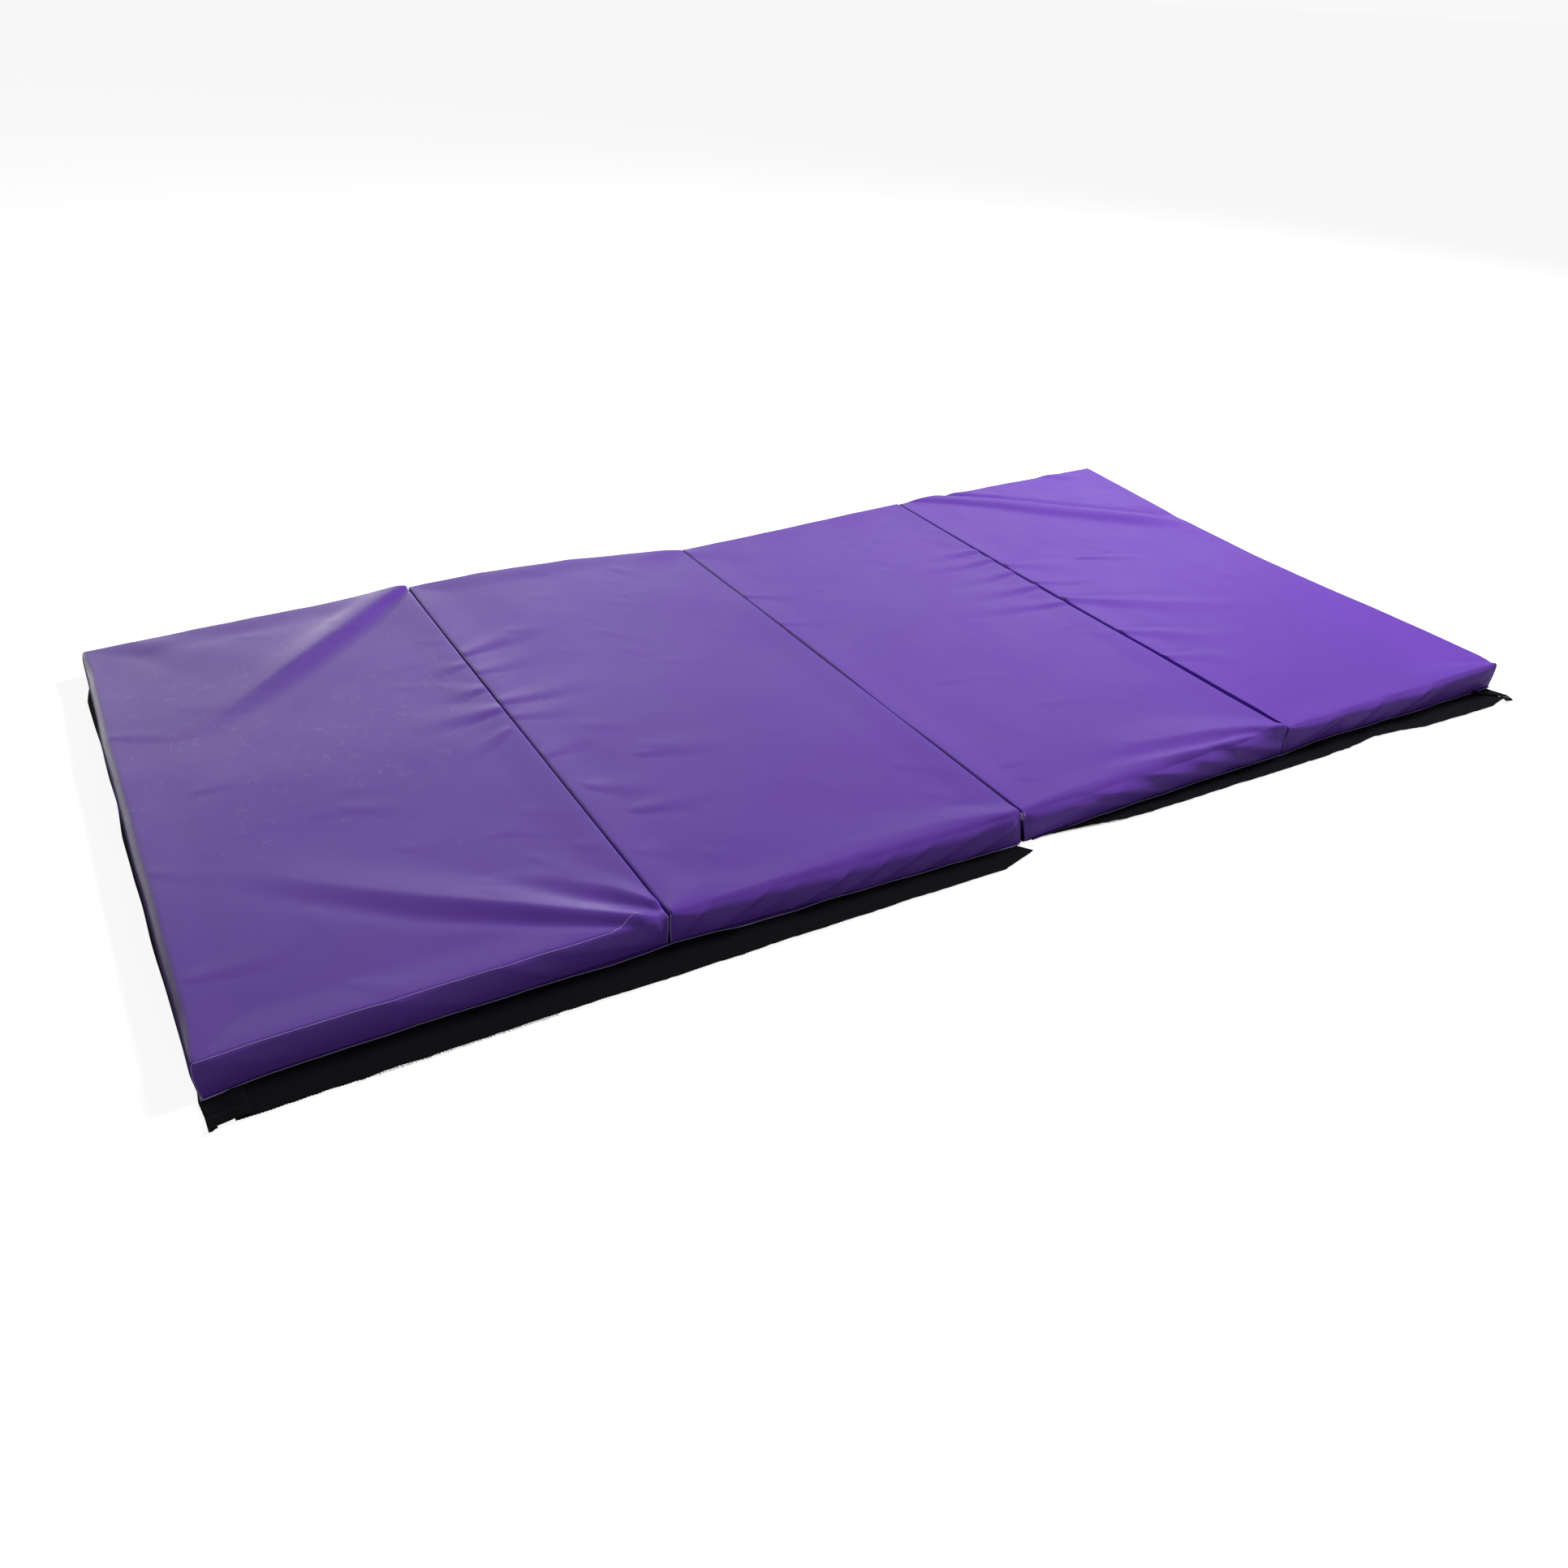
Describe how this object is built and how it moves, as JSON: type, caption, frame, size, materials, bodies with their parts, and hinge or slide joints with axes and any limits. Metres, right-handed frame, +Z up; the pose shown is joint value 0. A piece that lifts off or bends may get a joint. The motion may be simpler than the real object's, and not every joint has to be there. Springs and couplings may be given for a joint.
{
  "type": "folding gym mat",
  "caption": "Folding gym mat: foam panels in sewn vinyl covers, hinged to fold up like an accordion, with hook-and-loop edge flaps and end strips for joining mats.",
  "frame": {"origin": "on the floor under the middle of the mat laid out flat", "axes": "+X along the mat's length, with panel 1 at -X; -Y is the front long edge; +Z up"},
  "size_m": [2.4462, 1.3472, 0.0524],
  "materials": {
    "vinyl_top": "purple coated vinyl, semi-gloss, fine grain",
    "vinyl_side": "purple coated vinyl, semi-gloss, fine grain",
    "foam": "closed-cell foam, matt",
    "hinge_webbing": "woven tape, matt",
    "joining_strip": "black hook-and-loop strip, brushed face"
  },
  "bodies": {
    "panel_1": {"back_flap_1": "joining_strip", "back_wall_1": "vinyl_side", "bottom_sheet_1": "vinyl_side", "foam_core_1": "foam", "front_flap_1": "joining_strip", "front_wall_1": "vinyl_side", "hinge_tape_right_1": "hinge_webbing", "left_end_strip": "joining_strip", "left_wall_1": "vinyl_side", "right_wall_1": "vinyl_side", "top_sheet_1": "vinyl_top"},
    "panel_2": {"back_flap_2": "joining_strip", "back_wall_2": "vinyl_side", "bottom_sheet_2": "vinyl_side", "foam_core_2": "foam", "front_flap_2": "joining_strip", "front_wall_2": "vinyl_side", "hinge_tape_left_2": "hinge_webbing", "hinge_tape_right_2": "hinge_webbing", "left_wall_2": "vinyl_side", "right_wall_2": "vinyl_side", "top_sheet_2": "vinyl_top"},
    "panel_3": {"back_flap_3": "joining_strip", "back_wall_3": "vinyl_side", "bottom_sheet_3": "vinyl_side", "foam_core_3": "foam", "front_flap_3": "joining_strip", "front_wall_3": "vinyl_side", "hinge_tape_left_3": "hinge_webbing", "hinge_tape_right_3": "hinge_webbing", "left_wall_3": "vinyl_side", "right_wall_3": "vinyl_side", "top_sheet_3": "vinyl_top"},
    "panel_4": {"back_flap_4": "joining_strip", "back_wall_4": "vinyl_side", "bottom_sheet_4": "vinyl_side", "foam_core_4": "foam", "front_flap_4": "joining_strip", "front_wall_4": "vinyl_side", "hinge_tape_left_4": "hinge_webbing", "left_wall_4": "vinyl_side", "right_end_strip": "joining_strip", "right_wall_4": "vinyl_side", "top_sheet_4": "vinyl_top"}
  },
  "joints": [
    {"name": "left_fold", "type": "hinge", "parent": "panel_2", "child": "panel_1", "pos_m": [-0.6096, 0, -0.0005], "axis": [0, -1, 0], "range_deg": [0, 180]},
    {"name": "middle_fold", "type": "hinge", "parent": "panel_2", "child": "panel_3", "pos_m": [0, 0, 0.0529], "axis": [0, -1, 0], "range_deg": [0, 180]},
    {"name": "right_fold", "type": "hinge", "parent": "panel_3", "child": "panel_4", "pos_m": [0.6096, 0, -0.0005], "axis": [0, 1, 0], "range_deg": [0, 180]}
  ]
}
